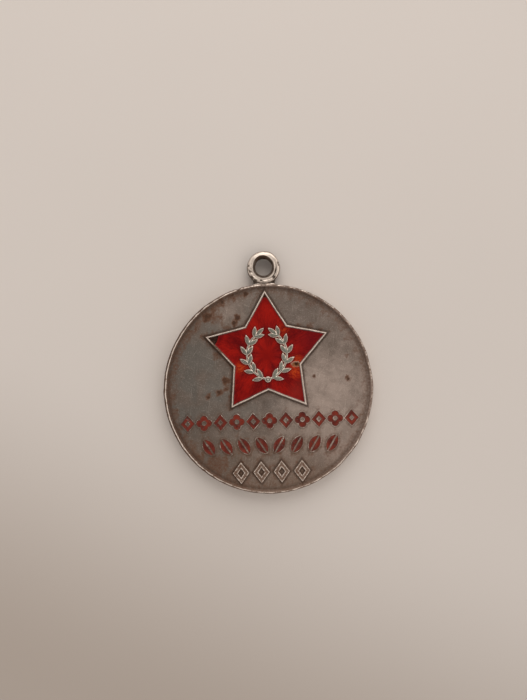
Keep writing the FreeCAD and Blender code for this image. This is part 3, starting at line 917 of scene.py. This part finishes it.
def build_solder(material):
    foot = (SOLDER_FOOT, math.sqrt(RADIUS ** 2 - SOLDER_FOOT ** 2))
    top_turn = math.radians(SOLDER_CLIMB - 90)
    top = (EYELET_X + EYELET_RADIUS * math.cos(top_turn), EYELET_Y + EYELET_RADIUS * math.sin(top_turn))
    steps = np.linspace(0, 1, 14)
    bow = SOLDER_HOLLOW * 4 * steps * (1 - steps)
    flank = [(foot[0] + (top[0] - foot[0]) * step - hollow, foot[1] + (top[1] - foot[1]) * step)
             for step, hollow in zip(steps, bow)]
    inset = EYELET_RADIUS - 0.25
    ring = arc_points(EYELET_X, EYELET_Y, inset, top_turn, -math.pi - top_turn, 0.12)
    base = RADIUS - 0.25
    reach = math.asin(SOLDER_FOOT / base)
    under = arc_points(0, 0, base, math.pi / 2 + reach, math.pi / 2 - reach, 0.12)
    loop = flank + ring + [(-x, y) for x, y in reversed(flank)] + under
    lows, highs = np.min(loop, axis=0), np.max(loop, axis=0)

    def inside(x, y):
        crossings = np.zeros(np.shape(x), int)
        for (ax, ay), (bx, by) in zip(loop, loop[1:] + loop[:1]):
            over = (ay > y) != (by > y)
            if ay != by:
                crossings += over & (x < (bx - ax) * (y - ay) / (by - ay) + ax)
        return crossings % 2 == 1

    grid = loose_points(0.09, lows, highs, inside, [loop])
    points, faces = triangles([loop], grid, inside)
    x, y = points.T
    middle = (solder_low.z + solder_high.z) / 2
    from_flank = np.min([np.hypot(np.abs(x) - a, y - b) for a, b in flank], axis=0)
    depth = np.clip(from_flank / 0.55, 0, 1)
    thick = (solder_high.z - solder_low.z) / 2 * (0.25 + 0.75 * np.sqrt(1 - (1 - depth) ** 2))
    lump = 0.04
    lumps = lump * waves(x, y, 0.4, 111)
    solid, all_faces = slab(points, faces, middle + thick - lump + lumps, middle - thick + lump + lumps)
    solid_x, solid_y = solid[:, 0], solid[:, 1]
    lip = ease(RADIUS + 0.22, RADIUS + 0.08, np.hypot(solid_x, solid_y))
    grime = 0.85 - 0.8 * lip + 0.2 * waves(solid_x, solid_y, 0.3, 112)
    marks = {"wear": np.clip(0.1 + 0.9 * lip, 0, 1), "grime": np.clip(grime, 0, 1), "stain": 0 * lip}
    make_piece("eyelet_solder_joint", solid, all_faces, material, ["eyelet_solder"], marks, 60)


# ---- materials ----
class Nodes:
    """A node tree written as expressions: each method adds a node and gives back its output."""

    def __init__(self, tree):
        self.tree = tree

    def add(self, kind, **settings):
        node = self.tree.nodes.new(kind)
        for key, value in settings.items():
            setattr(node, key, value)
        return node

    def feed(self, socket, value):
        if isinstance(value, bpy.types.NodeSocket):
            self.tree.links.new(value, socket)
        elif isinstance(value, (tuple, list)) and socket.type == "RGBA":
            socket.default_value = (*value, 1)
        else:
            socket.default_value = value

    def made(self, node, *values, **named):
        """Feeds the node's sockets, in order or by name."""
        for socket, value in zip(node.inputs, values):
            self.feed(socket, value)
        for name, value in named.items():
            self.feed(node.inputs[name.replace("_", " ")], value)
        return node

    def vector(self, operation, a, b=(0, 0, 0), output="Vector"):
        return self.made(self.add("ShaderNodeVectorMath", operation=operation), a, b).outputs[output]

    def math(self, operation, a, b=0.0, c=0.0, clamp=False):
        return self.made(self.add("ShaderNodeMath", operation=operation, use_clamp=clamp), a, b, c).outputs[0]

    def times(self, a, b):
        return self.math("MULTIPLY", a, b)

    def ramp(self, value, low, high, to_low=0.0, to_high=1.0):
        node = self.add("ShaderNodeMapRange", interpolation_type="SMOOTHSTEP")
        return self.made(node, value, low, high, to_low, to_high).outputs[0]

    def axes(self, place):
        return self.made(self.add("ShaderNodeSeparateXYZ"), place).outputs


class Material(Nodes):
    """A procedural material that knows its place on the medal in millimetres."""

    def __init__(self, name):
        self.material = bpy.data.materials.new(name)
        self.material.use_nodes = True
        super().__init__(self.material.node_tree)
        self.shader = self.tree.nodes["Principled BSDF"]
        where = self.add("ShaderNodeTexCoord").outputs["Object"]
        shift = self.vector("SUBTRACT", where, (DISC_X, DISC_Y, 0))
        self.place = self.vector("MULTIPLY", shift, (1 / MM, 1 / MM, 1 / MM))
        self.plan = self.vector("MULTIPLY", self.place, (1, 1, 0))

    def blend(self, share, a, b, kind="FLOAT"):
        node = self.add("ShaderNodeMix", data_type=kind)
        for socket, value in zip([socket for socket in node.inputs if socket.enabled], (share, a, b)):
            self.feed(socket, value)
        return next(socket for socket in node.outputs if socket.enabled)

    def mix(self, share, a, b):
        return self.blend(share, a, b, "RGBA")

    def tint(self, base, where, strength, colour):
        """base with a colour laid over it, as much as where times strength says."""
        return self.mix(self.times(where, strength), base, colour)

    def noise(self, scale, detail=3.0, rough=0.55, where=None, stretch=(1, 1, 1), warp=0.0):
        """Noise of about 0 to 1 with scale features a mm. stretch squeezes it along an axis."""
        spot = self.vector("MULTIPLY", where or self.place, stretch)
        node = self.add("ShaderNodeTexNoise")
        self.made(node, Vector=spot, Scale=scale, Detail=detail, Roughness=rough, Distortion=warp)
        return node.outputs[0]

    def turned(self, degrees):
        node = self.add("ShaderNodeVectorRotate", rotation_type="Z_AXIS")
        return self.made(node, Vector=self.place, Angle=math.radians(degrees)).outputs[0]

    def mark(self, name):
        return self.add("ShaderNodeAttribute", attribute_name=name).outputs["Fac"]

    def spot(self, x, y, radius):
        """1 at a point of the medal's plan, fading to 0 at radius mm from it."""
        away = self.vector("LENGTH", self.vector("SUBTRACT", self.plan, (x, y, 0)), output="Value")
        return self.ramp(away, radius, 0.0)

    def bump(self, height, depth):
        """depth in mm"""
        node = self.add("ShaderNodeBump")
        return self.made(node, Strength=1.0, Distance=depth * MM, Height=height).outputs[0]

    def set(self, **sockets):
        self.made(self.shader, **sockets)


def scratches(m, degrees, fineness, sparse):
    """Thin straight lines in one direction, 0 where there is none."""
    line = m.noise(1.0, 2.0, 0.5, m.turned(degrees), (fineness, 0.22, 1))
    return m.ramp(line, sparse, sparse + 0.06)


def silver(name, light=(0.42, 0.335, 0.29), dark=(0.185, 0.142, 0.116), bright=(0.8, 0.69, 0.61),
           flecks=()):
    """Tarnished silver: dull grey-brown, bright where it rubs, brown where dirt lies."""
    m = Material(name)
    wear, grime, stain = m.mark("wear"), m.mark("grime"), m.mark("stain")
    blotch = m.noise(0.8, 4.0, 0.6, warp=0.6)
    grain = m.noise(9.0, 3.0, 0.6)
    speck = m.ramp(m.noise(4.2, 2.0, 0.6), 0.66, 0.74)
    tone = m.math("MULTIPLY_ADD", blotch, 0.6, m.times(grain, 0.35))
    tone = m.math("MULTIPLY_ADD", m.noise(0.28, 3.0, 0.5), 0.5, tone)
    # painted light: a broad sheen brightens the field towards the right
    tone = m.math("MULTIPLY_ADD", m.spot(9.5, -2.0, 13.0), 0.3, tone)
    base = m.mix(m.ramp(tone, 0.45, 1.25), dark, light)

    # the left is greyer and darker in painted shade, the bottom browner, a few broad places darker in painted
    # shade and one lighter in painted light
    x, y, _ = m.axes(m.place)
    left, low = m.ramp(x, 7.0, -14.0), m.ramp(y, -3.0, -16.0)
    left = m.times(left, m.math("SUBTRACT", 1.0, m.spot(-6.0, 12.7, 4.0)))
    cool = m.times(m.ramp(m.noise(0.3, 2.0, 0.5), 0.38, 0.62, 0.15, 0.7), left)
    base = m.mix(cool, base, (0.19, 0.19, 0.175))
    base = m.tint(base, left, 0.42, (0.075, 0.058, 0.045))
    base = m.tint(base, low, 0.45, (0.22, 0.14, 0.095))
    # painted shade: broad darker places of the field
    for at_x, at_y, radius, strength in PAINTED_SHADE_PLACES:
        base = m.tint(base, m.spot(at_x, at_y, radius), strength, (0.06, 0.05, 0.044))
    # painted light: a lighter place at the lower right of the field
    base = m.tint(base, m.spot(11.0, -9.0, 7.0), 0.4, light)

    # fine grain, sparkle, scratches and specks
    base = m.tint(base, m.ramp(grain, 0.55, 0.8), 0.16, bright)
    base = m.tint(base, m.ramp(m.noise(5.0, 1.0, 0.5), 0.58, 0.74), 0.14, bright)
    lines = m.math("MAXIMUM", scratches(m, 8, 9.0, 0.66), scratches(m, -64, 8.0, 0.69))
    lines = m.math("MAXIMUM", lines, scratches(m, 37, 8.5, 0.7))
    base = m.tint(base, lines, 0.12, bright)
    base = m.tint(base, speck, 0.45, (0.07, 0.05, 0.04))

    # brown stains with ragged edges, black-brown in their middles, then dirt, then the rubbed metal
    ragged = m.noise(2.6, 4.0, 0.65)
    for at_x, at_y, radius in flecks:
        stain = m.math("MAXIMUM", stain, m.times(m.spot(at_x, at_y, radius), 1.25))
    soaked = m.math("MULTIPLY_ADD", ragged, 0.9, m.math("SUBTRACT", stain, 0.6))
    brown, burnt = m.ramp(soaked, 0.0, 0.62), m.ramp(soaked, 0.42, 0.8)
    base = m.tint(base, brown, 0.92, m.mix(burnt, (0.11, 0.043, 0.019), (0.044, 0.015, 0.004)))
    dirty = m.math("MULTIPLY", grime, m.ramp(m.noise(1.7, 4.0, 0.6), 0.25, 0.6, 0.65, 1.0), clamp=True)
    base = m.tint(base, dirty, 0.92, (0.04, 0.023, 0.014))
    rubbed = m.math("MULTIPLY_ADD", m.noise(3.4, 4.0, 0.6), 0.8, m.math("SUBTRACT", wear, 0.75))
    rubbed = m.ramp(rubbed, 0.0, 0.34)
    base = m.mix(rubbed, base, bright)

    dull = m.math("MAXIMUM", dirty, brown)
    rough = m.blend(rubbed, m.blend(dull, m.math("MULTIPLY_ADD", blotch, 0.25, 0.36), 0.75), 0.36)
    rough = m.math("MULTIPLY_ADD", grain, 0.08, rough, clamp=True)
    metal = m.blend(rubbed, m.blend(dull, 0.8, 0.1), 0.85)
    height = m.math("MULTIPLY_ADD", grain, 0.5, m.times(blotch, 0.8))
    height = m.math("SUBTRACT", height, m.times(lines, 0.6))
    height = m.math("SUBTRACT", height, m.times(speck, 0.9))
    m.set(Base_Color=base, Roughness=rough, Metallic=metal, Normal=m.bump(height, 0.016),
          Specular_IOR_Level=0.25)
    return m.material


def star_glass():
    """Deep red glass over engraved rays, bare and brown where it has flaked off."""
    m = Material("red_enamel_over_rays")
    bare, shade, rim = m.mark("bare"), m.mark("shade"), m.mark("chip_rim")
    x, medal_y, _ = m.axes(m.place)
    y = m.math("SUBTRACT", medal_y, STAR_Y)
    reach = m.math("SQRT", m.math("ADD", m.times(x, x), m.times(y, y)))
    polar = m.made(m.add("ShaderNodeCombineXYZ"), m.math("ARCTAN2", x, y), m.times(reach, 0.05)).outputs[0]
    rays = m.blend(m.ramp(reach, 0.3, 2.2), 0.5, m.noise(26.0, 3.0, 0.7, polar))
    broad = m.blend(m.ramp(reach, 0.3, 2.5), 0.5, m.noise(2.4, 2.0, 0.5, polar))
    cloud = m.noise(0.5, 3.0, 0.5)
    # painted light: the rays' colour runs brighter and darker by angle, standing in for light caught by the
    # engraved facets under the glass
    painted_ray_sheen = m.math("MULTIPLY_ADD", broad, 0.9, m.math("MULTIPLY_ADD", rays, 0.55, m.times(cloud, 0.35)))
    base = m.mix(m.ramp(painted_ray_sheen, 0.66, 1.16), (0.135, 0.002, 0.003), (0.4, 0.01, 0.005))
    base = m.mix(m.ramp(y, -3.5, -9.0, 0.0, 0.35), base, (0.12, 0.003, 0.005))

    # painted light and shade: orange glints where the rays catch the light, a brighter top arm and lower
    # right, a darker purple-red right arm and a darker patch at the lower right
    painted_glints = m.math("MULTIPLY_ADD", m.spot(2.6, 9.3, 1.7), 0.55, m.spot(4.9, 4.55, 1.1), clamp=True)
    painted_glints = m.math("ADD", painted_glints, m.math("ADD", m.spot(4.5, 2.7, 1.7), m.spot(-4.2, 3.6, 1.4)), clamp=True)
    base = m.tint(base, m.spot(7.3, 7.4, 3.6), 0.65, (0.09, 0.002, 0.007))
    base = m.tint(base, m.spot(0.2, 12.0, 3.0), 0.45, (0.46, 0.012, 0.006))
    base = m.tint(base, m.spot(4.6, -0.6, 2.2), 0.45, (0.38, 0.03, 0.022))
    base = m.tint(base, painted_glints, m.ramp(rays, 0.4, 0.58, 0.1, 0.9), (0.56, 0.07, 0.012))
    base = m.tint(base, m.spot(5.2, 0.8, 1.5), 0.5, (0.13, 0.012, 0.01))
    base = m.tint(base, shade, 0.85, (0.04, 0.004, 0.004))

    # where the glass is gone: a dark crust, browner at the top tip, with pale ground round the chip
    crust = m.mix(m.ramp(m.noise(4.5, 4.0, 0.6), 0.35, 0.7), (0.02, 0.008, 0.005), (0.072, 0.03, 0.02))
    crust = m.mix(m.ramp(medal_y, 12.0, 13.0), crust, (0.11, 0.042, 0.026))
    hole = m.ramp(m.spot(CHIP_X + 0.05, CHIP_Y + 0.06, 0.5), 0.1, 0.7)
    ground = m.mix(hole, (0.3, 0.13, 0.06), (0.06, 0.02, 0.006))
    crust = m.mix(m.ramp(x, 2.0, 3.0), crust, ground)
    base = m.mix(bare, base, crust)
    upper = m.ramp(m.math("SUBTRACT", medal_y, CHIP_Y), -0.15, 0.15, 0.25, 0.85)
    base = m.tint(base, rim, upper, (0.56, 0.37, 0.28))

    metal = m.times(m.math("SUBTRACT", 1.0, bare), 0.35)
    m.set(Base_Color=base, Roughness=m.blend(bare, 0.35, 0.75), Metallic=metal, Normal=m.bump(rays, 0.04))
    coat = m.math("MULTIPLY_ADD", bare, -0.55, 0.55, clamp=True)
    m.set(Coat_Weight=coat, Coat_Roughness=0.06, Specular_IOR_Level=0.1)
    return m.material


def row_glass():
    """Dull brick-red glass, brown with dirt in its pits and along its edges."""
    m = Material("brick_enamel")
    grime = m.mark("grime")
    cloud = m.noise(0.7, 3.0, 0.55)
    grain = m.noise(7.0, 3.0, 0.6)
    base = m.mix(m.ramp(cloud, 0.3, 0.7), (0.08, 0.008, 0.004), (0.19, 0.021, 0.009))
    base = m.tint(base, m.ramp(grain, 0.5, 0.8), 0.4, (0.3, 0.09, 0.05))
    base = m.tint(base, grime, m.ramp(grain, 0.3, 0.6, 0.6, 1.0), (0.05, 0.03, 0.018))
    rough = m.math("MULTIPLY_ADD", grime, 0.3, m.math("MULTIPLY_ADD", grain, 0.2, 0.28))
    m.set(Base_Color=base, Roughness=rough, Normal=m.bump(grain, 0.012), Specular_IOR_Level=0.25,
          Coat_Weight=0.15, Coat_Roughness=0.2)
    return m.material


# ---- floor, light and camera ----
def build_floor():
    mesh = bpy.data.meshes.new("pale_floor")
    half, below = 1.2, 0.00002
    corners = [(-half, -half, 0), (half, -half, 0), (half, half, 0), (-half, half, 0)]
    mesh.from_pydata(corners, [], [(0, 1, 2, 3)])
    floor = placed("pale_floor", mesh)
    m = Material("pale_table")
    tone = m.mix(m.noise(0.02, 2.0, 0.5), (0.61, 0.563, 0.53), (0.64, 0.59, 0.556))
    x, y, _ = m.axes(m.place)
    # painted shade: the table darkens towards the lower left, where less light falls
    painted_shade_lower_left = m.ramp(m.math("MULTIPLY_ADD", x, -0.42, m.times(y, -0.95)), 8.0, 62.0, 0.0, 0.66)
    m.set(Base_Color=m.mix(painted_shade_lower_left, tone, (0.3, 0.24, 0.195)), Roughness=0.85)
    mesh.materials.append(m.material)
    floor.location.z = -below


def build_key_light():
    """One large soft lamp above the far side, aimed at the frame's origin."""
    light = bpy.data.lights.new("key", "AREA")
    light.shape, light.size, light.energy, light.color = "DISK", 0.32, 0.46, (1.0, 0.97, 0.93)
    place = Vector((0.02, 0.25, 0.22))
    lamp = placed("key", light)
    lamp.location = place
    lamp.rotation_mode = "QUATERNION"
    lamp.rotation_quaternion = (-place).to_track_quat("-Z", "Y")


def build_camera():
    """Straight above, with the medal turned a little anticlockwise and below the picture's middle."""
    distance, view_height, turn = 0.11, 0.1131, math.radians(2.3)
    left, up = 0.53 * MM, 6.31 * MM          # of the disc's centre
    camera = bpy.data.cameras.new("camera")
    camera.sensor_width = 36.0
    camera.lens = camera.sensor_width * distance / view_height
    camera.clip_start, camera.clip_end = 0.005, 10
    eye = placed("camera", camera)
    eye.location = (DISC_X - left, DISC_Y + up, distance + RIM_TOP * MM)
    eye.rotation_euler = (0, 0, -turn)
    bpy.context.scene.camera = eye


def build_room():
    """Soft light from all round, brightest on the right, and dim overhead where the camera is held."""
    world = bpy.data.worlds.new("room")
    world.use_nodes = True
    w = Nodes(world.node_tree)
    where = w.add("ShaderNodeTexCoord").outputs["Generated"]
    overhead = w.ramp(w.axes(where)[2], 0.88, 0.975, 1.0, 0.08)
    rightwards = w.vector("DOT_PRODUCT", where, (0.9, 0.1, 0.0), "Value")
    strength = w.times(overhead, w.ramp(rightwards, -0.45, 0.5, 0.77, 1.25))
    w.made(w.tree.nodes["Background"], Color=(0.838, 0.789, 0.743), Strength=strength)
    bpy.context.scene.world = world


# ---- build ----
build_disc(silver("struck_silver", flecks=FLECKS))
build_star_enamel(star_glass())
build_wreath(silver("wreath_silver", light=(0.33, 0.345, 0.29), dark=(0.19, 0.2, 0.165)))
brick = row_glass()
for index, (node, mark) in enumerate(zip(UPPER + LOWER, MARKS)):
    build_inlay(f"row_glass_{index + 1:02d}", node, mark, index, brick)
build_eyelet(silver("eyelet_silver", light=(0.46, 0.38, 0.32), dark=(0.24, 0.19, 0.155),
                    bright=(0.7, 0.605, 0.53)))
build_solder(silver("solder_silver", light=(0.3, 0.25, 0.21), dark=(0.12, 0.095, 0.08)))

build_floor()
build_key_light()
build_room()
bpy.context.scene.view_settings.view_transform = "Standard"
build_camera()
